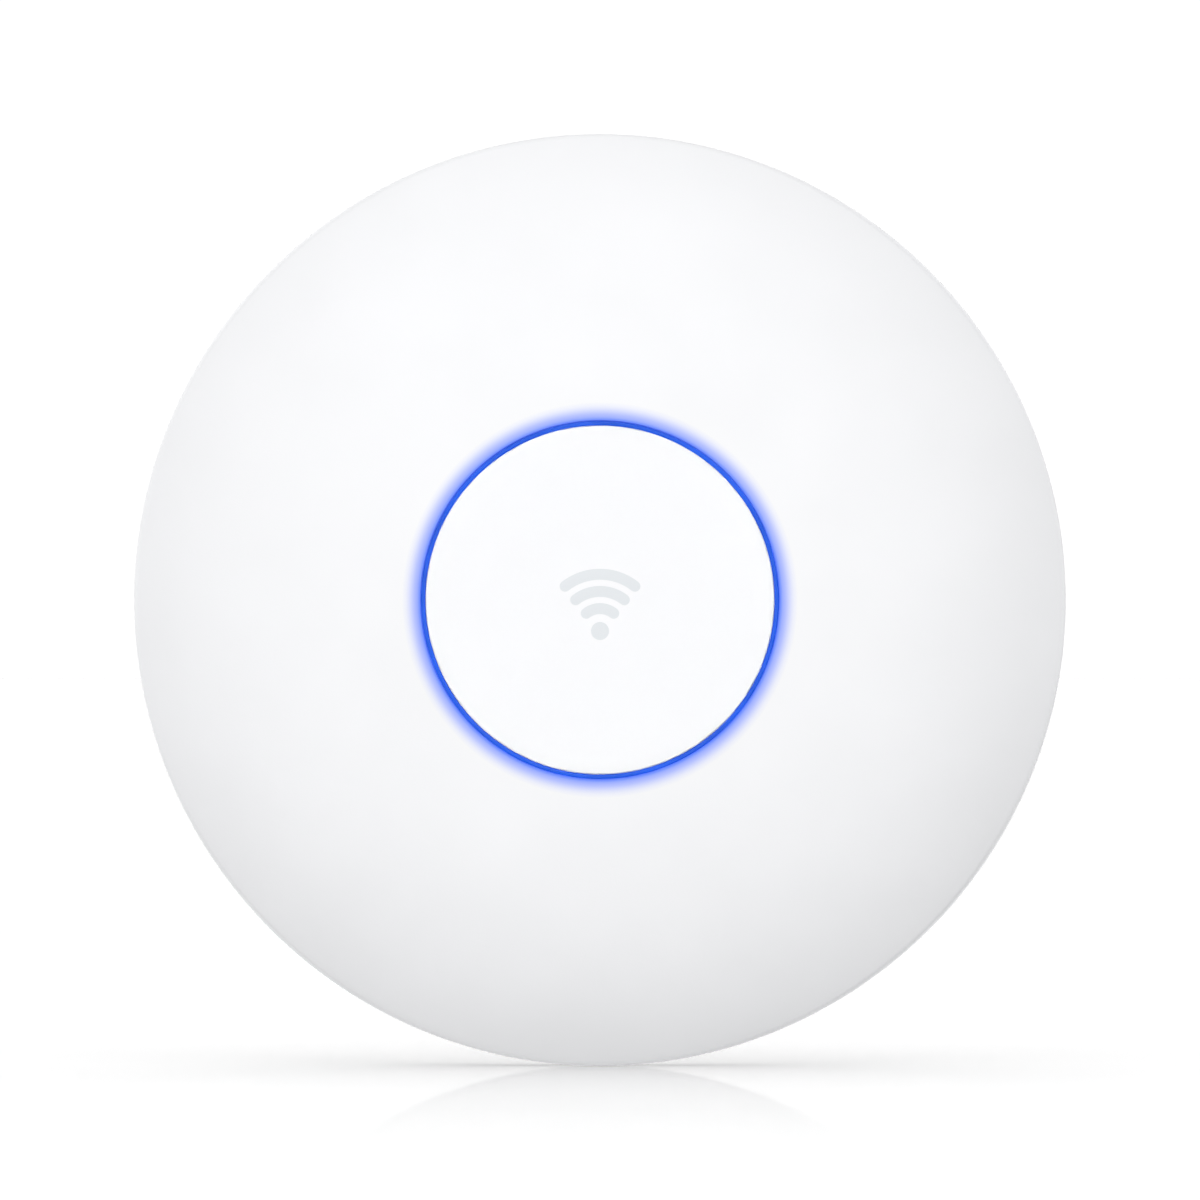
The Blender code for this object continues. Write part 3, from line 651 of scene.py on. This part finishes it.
def shell_cuts():
    """The pocket, jack bay, button hole, release groove, and the wells and bores for screws."""
    bay = JACK_HIGH.x + 0.4
    bore = [(0.0, POCKET_HALF + 3.0), (1.6, POCKET_HALF + 3.0), (1.6, POCKET_HALF + 0.35),
            (2.1, POCKET_HALF - 0.15), (2.1, POCKET_HALF - 1.0), (0.0, POCKET_HALF - 1.0)]
    hole = turned(bore, segments=32)
    hole.transform(Matrix.Rotation(math.pi / 2, 4, "Y"))
    middle = (BUTTON_LOW + BUTTON_HIGH) / 2
    hole.transform(Matrix.Translation((0.0, middle.y, middle.z)))
    removed = [rounded_box((-POCKET_HALF, JACK_HIGH.y, 0.0), (POCKET_HALF, POCKET_END, POCKET_Z), 2.0),
               box((-POCKET_HALF, JACK_HIGH.y, 0.0), (POCKET_HALF, JACK_HIGH.y + 6.0, POCKET_Z)),
               box((-bay, JACK_LOW.y - 0.6, -1.0), (bay, JACK_HIGH.y + 0.5, 20.0)),
               turn_about_axis(box((60.0, -2.5, -1.0), (100.0, 2.5, 4.0)), RELEASE_ANGLE), hole]
    for angle in BOSS_ANGLES:
        well = [(0.0, 20.0), (1.9, 20.0), (1.9, WELL_Z), (WELL_R, WELL_Z), (WELL_R, REAR_Z + 0.35),
                (WELL_R + 0.4, REAR_Z - 0.05), (WELL_R + 0.4, 0.0), (0.0, 0.0)]
        removed.append(turned(well, segments=40, at=polar(BOSS_R, angle)))
    removed += [pin(post, 1.4, RECESS_Z + 3.0, 20.0, 20) for post in BOARD_POSTS]
    return removed


def make_rear_shell():
    """The powder-coated rear casting."""
    shell = combined(turned(shell_profile(), segments=192), shell_additions(), shell_cuts(), "rear_shell")
    soften(shell, 0.22, segments=2, angle=50.0)
    shade(shell, flatten=True)
    finish_piece(shell, "casting", ["back_housing"])


def make_label():
    """A blank film label with round corners, on the recess floor."""
    low, high = node_box("rear_label")
    label = keep_mesh("blank_label", rounded_box(low, high, 2.5, steps=8))
    finish_piece(label, "label", ["rear_label"])
    border = [fillet([(x0, y0), (x1, y0), (x1, y1), (x0, y1)], dict.fromkeys(range(4), r), 8, closed=True)
              for x0, y0, x1, y1, r in ((low.x + 1.5, low.y + 1.5, high.x - 1.5, high.y - 1.5, 1.6),
                                        (low.x + 1.8, low.y + 1.8, high.x - 1.8, high.y - 1.8, 1.4))]
    work = bmesh.new()
    loops = [[work.verts.new((x, y, low.z - 0.02)) for x, y in outline] for outline in border]
    rear = [[work.verts.new((x, y, low.z + 0.01)) for x, y in outline] for outline in border]
    count = len(border[0])
    for i in range(count):
        j = (i + 1) % count
        work.faces.new((loops[0][i], loops[0][j], loops[1][j], loops[1][i]))
        work.faces.new((rear[0][i], rear[0][j], rear[1][j], rear[1][i]))
        for side in (0, 1):
            work.faces.new((loops[side][i], loops[side][j], rear[side][j], rear[side][i]))
    bmesh.ops.recalc_face_normals(work, faces=work.faces)
    frame_line = keep_mesh("label_border", work)
    finish_piece(frame_line, "print")


# ---------------------------------------------------------------------------------------- bracket

BRACKET_R = 63.0
BRACKET_T = 1.5
CABLE_HOLE_R = 24.0
KEYHOLE_R = 38.0         # circle of the keyholes
KEYHOLE_HEAD_R = 4.2
KEYHOLE_SLOT_R = 2.2
KEYHOLE_RUN = 8.0        # from the head's centre to the slot's end
FIXING_R = 44.0          # circle of the plain screw holes
FIXING_HOLE_R = 2.3
TAB_RISER_R = (56.0, 57.6)
TAB_FOOT_R = (56.8, 62.6)
LEVER_R = (56.5, 60.5)
LEVER_GAP_R = 52.0       # depth of the bracket's gap round the lever
TOOTH_R = 64.2           # tip of the lever's tooth


def keyhole(centre, head_r, slot_r, length, degrees):
    """A round hole with a narrower slot that leads out of it towards the given angle."""
    reach = math.degrees(math.asin(slot_r / head_r))
    head = arc(head_r, reach, 360.0 - reach, 32)
    tip = [(length + x, y) for x, y in arc(slot_r, -90.0, 90.0, 14)]
    turn = Matrix.Rotation(math.radians(degrees), 2)
    return [tuple(Vector(centre) + turn @ Vector(point)) for point in head + tip]


def make_bracket():
    """Stamped plate with cable hole, keyholes, screw holes, four bayonet channels and a lever gap."""
    first, last = LEVER_ANGLES
    edge = arc(BRACKET_R, last + 2.0, first + 359.0, 200)
    slot = [polar(LEVER_GAP_R, first - 1.0)] + arc(LEVER_GAP_R, first + 3.0, last + 2.0, 20)
    below, above = -1.0, BRACKET_T + 1.0
    cuts = [pin((0.0, 0.0), CABLE_HOLE_R, below, above, 128)]
    for angle in (0.0, 90.0, 180.0, 270.0):
        outline = keyhole(polar(KEYHOLE_R, angle), KEYHOLE_HEAD_R, KEYHOLE_SLOT_R, KEYHOLE_RUN, angle + 90.0)
        cuts.append(prism(outline, below, above))
    for angle in (45.0, 135.0, 225.0, 315.0):
        cuts.append(pin(polar(FIXING_R, angle), FIXING_HOLE_R, below, above))
    foot_in, foot_out = TAB_FOOT_R
    root = BRACKET_T - 0.4
    tabs = []
    for angle in TAB_ANGLES:
        low, high = angle - TAB_HALF - TWIST_STOP, angle + TAB_HALF
        stop = sector(foot_in + 0.1, foot_out - 0.1, low + 0.2, low + TWIST_STOP - 0.2, 2)
        tabs.append(prism(sector(*TAB_RISER_R, low, high), root, TAB_FOOT_Z[1]))
        tabs.append(prism(sector(foot_in, foot_out, low + 0.1, high - 0.1),
                          TAB_FOOT_Z[0], TAB_FOOT_Z[1] - 0.1))
        tabs.append(prism(stop, root, TAB_FOOT_Z[0] + 0.4))
    bracket = combined(prism(edge + slot, 0.0, BRACKET_T), tabs, cuts, "bracket_plate")
    soften(bracket, 0.18, segments=2, angle=50.0)
    shade(bracket, flatten=True)
    finish_piece(bracket, "bracket_steel", ["mounting_bracket"], body="bracket")


def make_lever():
    """The latch's arm with its raised tooth, which passes just inside the catch."""
    first, last = LEVER_ANGLES
    inner, outer = LEVER_R
    outline = arc(outer, last + 1.7, first + 2.0, 40) + arc(inner, first + 2.0, last + 1.7, 40)
    heel = outer - 1.5
    tooth = [polar(heel, first + 2.1), polar(TOOTH_R, first + 2.1), polar(TOOTH_R, first + 4.0),
             polar(outer - 0.1, first + 8.0), polar(heel, first + 8.0)]
    tooth = fillet(tooth, {1: 0.5, 2: 0.8}, closed=True)
    lever = combined(prism(outline, 0.0, BRACKET_T), [prism(tooth, 0.2, LATCH_Z)], name="latch_arm")
    soften(lever, 0.15, segments=2, angle=50.0)
    shade(lever, flatten=True)
    finish_piece(lever, "spring_steel", ["latch_lever"], body="latch")


# ---------------------------------------------------------------------------------------- jack

CONTACTS = 8
CONTACT_PITCH = 1.02
CONTACT_HALF = 0.17      # half a contact's width


def make_jack():
    """Tin shell, black insert with its stepped mouth, eight gold contacts and two small lamps."""
    low, high = JACK_LOW, JACK_HIGH
    wall = 0.4
    shell = combined(box(low, high), removed=[box((low.x + wall, low.y + wall, low.z + wall),
                                                  (high.x - wall, high.y + 1.0, high.z - wall))],
                     name="jack_can")
    soften(shell, 0.15)
    shade(shell, flatten=True)
    finish_piece(shell, "tinplate", ["jack_shell"])
    inner_low, inner_high = node_box("jack_insert")
    face = inner_high.y
    mouth_low, mouth_high = low.z + 3.4, low.z + 10.4
    insert = combined(box(inner_low, inner_high), removed=[
        box((-6.0, high.y - 14.0, mouth_low), (6.0, high.y + 1.0, mouth_high)),
        box((-3.2, high.y - 9.0, low.z + 1.5), (3.2, high.y + 1.0, mouth_low + 0.6))], name="jack_moulding")
    soften(insert, 0.12)
    shade(insert, flatten=True)
    finish_piece(insert, "black_plastic", ["jack_insert"])
    side = [(face - 1.2, mouth_high - 0.02), (face - 1.2, mouth_high - 0.25),
            (face - 2.6, mouth_high - 0.3), (face - 11.0, mouth_high - 2.6),
            (face - 11.3, mouth_high - 2.4), (face - 3.0, mouth_high - 0.02)]
    upright = Matrix(((0, 0, 1, 0), (1, 0, 0, 0), (0, 1, 0, 0), (0, 0, 0, 1)))    # x, y to y, z
    contacts = []
    for i in range(CONTACTS):
        strip = prism(side, -CONTACT_HALF, CONTACT_HALF)
        across = (i - (CONTACTS - 1) / 2) * CONTACT_PITCH
        strip.transform(Matrix.Translation((across, 0.0, 0.0)) @ upright)
        contacts.append(strip)
    finish_piece(keep_mesh("jack_contacts", gathered(contacts)), "gold")
    for name, x in (("left", -5.1), ("right", 5.1)):
        lamp = keep_mesh(f"jack_lamp_{name}", rounded_box((x - 1.3, face - 0.6, mouth_high + 0.5),
                                                         (x + 1.3, face + 0.12, mouth_high + 1.8), 0.2))
        finish_piece(lamp, "lamp")


# ---------------------------------------------------------------------------------------- screws


def make_screw(node, head_below):
    """A pan-head screw with a cross recess, in the place of the CAD one."""
    low, high = node_box(node)
    centre = ((low.x + high.x) / 2, (low.y + high.y) / 2)
    head_r = (high.x - low.x) / 2
    shank_r = head_r * 0.41
    crown, tip = (low.z, high.z) if head_below else (high.z, low.z)
    down = 1.0 if head_below else -1.0
    seat = crown + down * head_r * 0.6
    profile = [(0.0, crown), (head_r * 0.55, crown + down * 0.08),
               (head_r * 0.9, crown + down * head_r * 0.25), (head_r, crown + down * head_r * 0.45),
               (head_r, seat), (shank_r, seat), (shank_r, tip - down * 0.8), (shank_r * 0.5, tip),
               (0.0, tip)]
    wide, long = 0.30, head_r * 0.58
    cross = [box((centre[0] - a, centre[1] - b, crown - 0.9), (centre[0] + a, centre[1] + b, crown + 0.9))
             for a, b in ((long, wide), (wide, long))]
    solid = turned(fillet(profile, {1: 0.4, 2: 0.6, 3: 0.4}), segments=40, at=centre)
    screw = combined(solid, removed=cross, name=node + "_fine")
    soften(screw, 0.06, segments=1, angle=50.0)
    shade(screw, flatten=True)
    finish_piece(screw, "screw_steel", [node])


make_dome()
make_cap()
make_light_guide()
make_emblem()
make_rear_shell()
make_label()
make_bracket()
make_lever()
make_jack()
for row in frame["record"]["subparts"]:
    if "_screw_" in row["node"]:
        make_screw(row["node"], row["node"].startswith("housing"))

# ---------------------------------------------------------------------------------------- carried over

for row in frame["record"]["subparts"]:
    paint(frame["nodes"][row["node"]], row["material_slot"])

# ---------------------------------------------------------------------------------------- studio

CAMERA_DISTANCE = 2.4    # metres
DISC_SHARE = 0.775333    # of the picture's width that the disc takes
SKY_SEEN = 1.06          # the surround's strength to the eye, and as a light on matt surfaces
SKY_DIFFUSE = 0.13


def make_floor():
    """A pale floor under the disc, with a gloss that fades away from it."""
    bpy.ops.mesh.primitive_grid_add(size=24.0, x_subdivisions=2, y_subdivisions=2,
                                    location=(0.0, 0.0, -BODY_R * MM))
    floor = bpy.context.active_object
    floor.name = "studio_floor"
    floor.visible_diffuse = False
    look = Look("studio_floor", (0.30, 0.30, 0.30), 0.60)
    look.put(look.shader, "Specular IOR Level", 0.0)
    look.put(look.shader, "Coat Roughness", 0.035)
    look.vary(look.noise(900.0, 1.0), 0.004)
    polish = ramp(look, radius_from_axis(look, (1.0, 1.0, 0.0)), [
        (0.0, (0.36, 0.36, 0.36)), (120.0, (0.36, 0.36, 0.36)), (220.0, (0.30, 0.30, 0.30)),
        (340.0, (0.16, 0.16, 0.16)), (600.0, (0.0, 0.0, 0.0))])
    look.link(polish, look.shader.inputs["Coat Weight"])
    floor.data.materials.append(look.material)


def make_world():
    """White all round: full strength to the eye and in reflections, softer as a light."""
    world = bpy.data.worlds.new("studio")
    bpy.context.scene.world = world
    world.use_nodes = True
    tree = world.node_tree
    background = tree.nodes["Background"]
    path = tree.nodes.new("ShaderNodeLightPath")
    strength = tree.nodes.new("ShaderNodeMapRange")
    strength.inputs["To Min"].default_value = SKY_SEEN
    strength.inputs["To Max"].default_value = SKY_DIFFUSE
    tree.links.new(path.outputs["Is Diffuse Ray"], strength.inputs["Value"])
    tree.links.new(strength.outputs["Result"], background.inputs["Strength"])
    background.inputs["Color"].default_value = (1.0, 1.0, 1.0, 1.0)


def soft_light(name, towards, level, spread, receivers, shadow=True):
    """A far, soft light from the direction towards. A level of 1 lights a white face to full white."""
    data = bpy.data.lights.new(name, "SUN")
    data.energy = level * math.pi
    data.angle = math.radians(spread)
    data.use_shadow = shadow
    lamp = bpy.data.objects.new(name, data)
    lamp.rotation_euler = Vector(towards).to_track_quat("Z", "Y").to_euler()
    lamp.visible_glossy = False
    lamp.light_linking.receiver_collection = receivers
    lamp.light_linking.blocker_collection = bpy.data.collections["lit_object"]
    bpy.context.scene.collection.objects.link(lamp)


def light_group(name, members):
    """A collection that says which pieces a light falls on, or which ones cast its shadows."""
    group = bpy.data.collections.new(name)
    for item in members:
        group.objects.link(item)
    return group


def make_camera():
    """Face on, level with the disc's centre, framed as a square with the disc across most of it."""
    view_width = 2 * BODY_R * MM / DISC_SHARE
    rim_depth = CAMERA_DISTANCE + DOME_LOW.z * MM
    data = bpy.data.cameras.new("camera")
    data.sensor_width = 36.0
    data.lens = data.sensor_width * CAMERA_DISTANCE / view_width
    data.clip_end = 100.0
    camera = bpy.data.objects.new("camera", data)
    camera.location = (0.0, -rim_depth, 0.0)
    camera.rotation_euler = (math.pi / 2, 0.0, 0.0)
    bpy.context.scene.collection.objects.link(camera)
    bpy.context.scene.camera = camera


# Light linking: the front key falls on every piece, the rim lights on the dome only, the rear lights on
# all but the dome, and the overhead lights on the floor only.
bpy.context.scene.view_settings.view_transform = "Standard"
make_floor()
make_world()
pieces = [item for item in bpy.context.scene.objects
          if item.type in ("MESH", "CURVE") and item.name != "studio_floor"]
on_object = light_group("lit_object", pieces)    # also what casts the shadows
on_cover = light_group("lit_cover", [item for item in pieces if item.name == "dome_shell"])
on_rear = light_group("lit_rear", [item for item in pieces if item.name != "dome_shell"])
on_floor = light_group("lit_floor", [bpy.data.objects["studio_floor"]])
soft_light("front_key", (-0.065, -0.94, 0.232), 1.0, 30.0, on_object)
soft_light("rim_left", (-0.82, 0.57, 0.0), 0.75, 15.0, on_cover)
soft_light("rim_right", (0.82, 0.57, 0.0), 0.75, 15.0, on_cover)
soft_light("rim_above", (0.0, 0.57, 0.82), 0.40, 15.0, on_cover)
soft_light("rim_below", (0.0, 0.60, -0.80), 0.90, 15.0, on_cover)
soft_light("rear_key", (-0.40, 0.80, 0.45), 0.72, 30.0, on_rear)
soft_light("rear_fill", (0.70, 0.65, -0.30), 0.28, 60.0, on_rear)
soft_light("overhead", (0.0, 0.0, 1.0), 2.50, 125.0, on_floor)
soft_light("overhead_fill", (0.0, 0.0, 1.0), 0.83, 60.0, on_floor, shadow=False)
make_camera()
